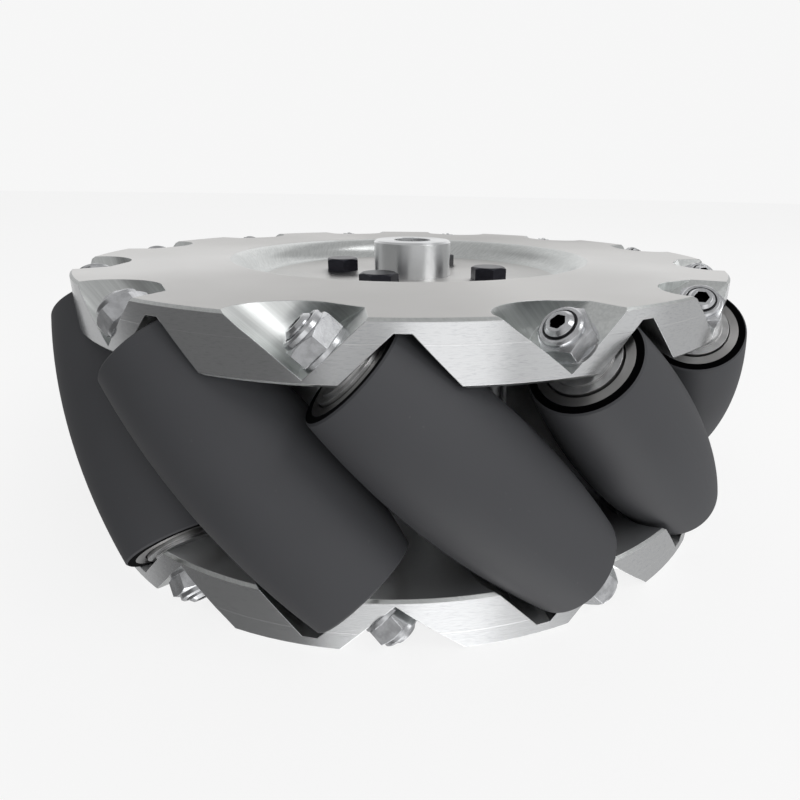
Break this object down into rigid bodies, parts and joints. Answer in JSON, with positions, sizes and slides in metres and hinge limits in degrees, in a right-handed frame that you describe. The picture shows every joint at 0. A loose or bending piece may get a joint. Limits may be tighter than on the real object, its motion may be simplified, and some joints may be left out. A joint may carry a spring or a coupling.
{
  "type": "mecanum wheel",
  "caption": "Heavy-duty mecanum wheel: crowned rubber rollers held at 45 degrees on through axles between two thick milled aluminium side plates, with a keyed hub.",
  "frame": {"origin": "centre of the lower side plate's outer face, on the wheel axis", "axes": "+Z along the wheel axis towards the hub's standing boss; +X through the middle of a roller"},
  "size_m": [0.2026, 0.2026, 0.075],
  "materials": {
    "aluminium": "fine-turned faces, brushed rim, satin milled pockets",
    "hub_aluminium": "turned",
    "black_steel": "black oxide",
    "zinc_steel": "bright zinc plated",
    "turned_steel": "bright turned",
    "core_steel": "fine turned end faces",
    "rubber": "smooth matte"
  },
  "bodies": {
    "wheel_frame": {"plate_upper": "aluminium", "plate_lower": "aluminium", "hub": "hub_aluminium", "hub_bolts_upper": "black_steel", "hub_bolts_lower": "black_steel", "set_screw": "black_steel", "axles": "zinc_steel", "lock_nuts_upper": "zinc_steel", "lock_nuts_lower": "zinc_steel", "washers_upper": "zinc_steel", "washers_lower": "zinc_steel", "spacers_upper": "turned_steel", "spacers_lower": "turned_steel", "bearing_inner_rings": "turned_steel", "axle_sleeves": "turned_steel"},
    "roller_0": {"tyre_0": "rubber", "core_0": "core_steel", "bearings_0": "turned_steel"},
    "roller_1": {"tyre_1": "rubber", "core_1": "core_steel", "bearings_1": "turned_steel"},
    "roller_2": {"tyre_2": "rubber", "core_2": "core_steel", "bearings_2": "turned_steel"},
    "roller_3": {"tyre_3": "rubber", "core_3": "core_steel", "bearings_3": "turned_steel"},
    "roller_4": {"tyre_4": "rubber", "core_4": "core_steel", "bearings_4": "turned_steel"},
    "roller_5": {"tyre_5": "rubber", "core_5": "core_steel", "bearings_5": "turned_steel"},
    "roller_6": {"tyre_6": "rubber", "core_6": "core_steel", "bearings_6": "turned_steel"},
    "roller_7": {"tyre_7": "rubber", "core_7": "core_steel", "bearings_7": "turned_steel"},
    "roller_8": {"tyre_8": "rubber", "core_8": "core_steel", "bearings_8": "turned_steel"},
    "roller_9": {"tyre_9": "rubber", "core_9": "core_steel", "bearings_9": "turned_steel"},
    "roller_10": {"tyre_10": "rubber", "core_10": "core_steel", "bearings_10": "turned_steel"},
    "roller_11": {"tyre_11": "rubber", "core_11": "core_steel", "bearings_11": "turned_steel"}
  },
  "joints": [
    {"name": "roller_0_spin", "type": "hinge", "parent": "wheel_frame", "child": "roller_0", "pos_m": [0.0857, 0, 0.03519], "axis": [0, -0.7071, 0.7071], "continuous": true},
    {"name": "roller_1_spin", "type": "hinge", "parent": "wheel_frame", "child": "roller_1", "pos_m": [0.07422, 0.04285, 0.03519], "axis": [0.3536, -0.6124, 0.7071], "continuous": true},
    {"name": "roller_2_spin", "type": "hinge", "parent": "wheel_frame", "child": "roller_2", "pos_m": [0.04285, 0.07422, 0.03519], "axis": [0.6124, -0.3536, 0.7071], "continuous": true},
    {"name": "roller_3_spin", "type": "hinge", "parent": "wheel_frame", "child": "roller_3", "pos_m": [0, 0.0857, 0.03519], "axis": [0.7071, 0, 0.7071], "continuous": true},
    {"name": "roller_4_spin", "type": "hinge", "parent": "wheel_frame", "child": "roller_4", "pos_m": [-0.04285, 0.07422, 0.03519], "axis": [0.6124, 0.3536, 0.7071], "continuous": true},
    {"name": "roller_5_spin", "type": "hinge", "parent": "wheel_frame", "child": "roller_5", "pos_m": [-0.07422, 0.04285, 0.03519], "axis": [0.3536, 0.6124, 0.7071], "continuous": true},
    {"name": "roller_6_spin", "type": "hinge", "parent": "wheel_frame", "child": "roller_6", "pos_m": [-0.0857, 0, 0.03519], "axis": [0, 0.7071, 0.7071], "continuous": true},
    {"name": "roller_7_spin", "type": "hinge", "parent": "wheel_frame", "child": "roller_7", "pos_m": [-0.07422, -0.04285, 0.03519], "axis": [-0.3536, 0.6124, 0.7071], "continuous": true},
    {"name": "roller_8_spin", "type": "hinge", "parent": "wheel_frame", "child": "roller_8", "pos_m": [-0.04285, -0.07422, 0.03519], "axis": [-0.6124, 0.3536, 0.7071], "continuous": true},
    {"name": "roller_9_spin", "type": "hinge", "parent": "wheel_frame", "child": "roller_9", "pos_m": [0, -0.0857, 0.03519], "axis": [-0.7071, 0, 0.7071], "continuous": true},
    {"name": "roller_10_spin", "type": "hinge", "parent": "wheel_frame", "child": "roller_10", "pos_m": [0.04285, -0.07422, 0.03519], "axis": [-0.6124, -0.3536, 0.7071], "continuous": true},
    {"name": "roller_11_spin", "type": "hinge", "parent": "wheel_frame", "child": "roller_11", "pos_m": [0.07422, -0.04285, 0.03519], "axis": [-0.3536, -0.6124, 0.7071], "continuous": true}
  ]
}
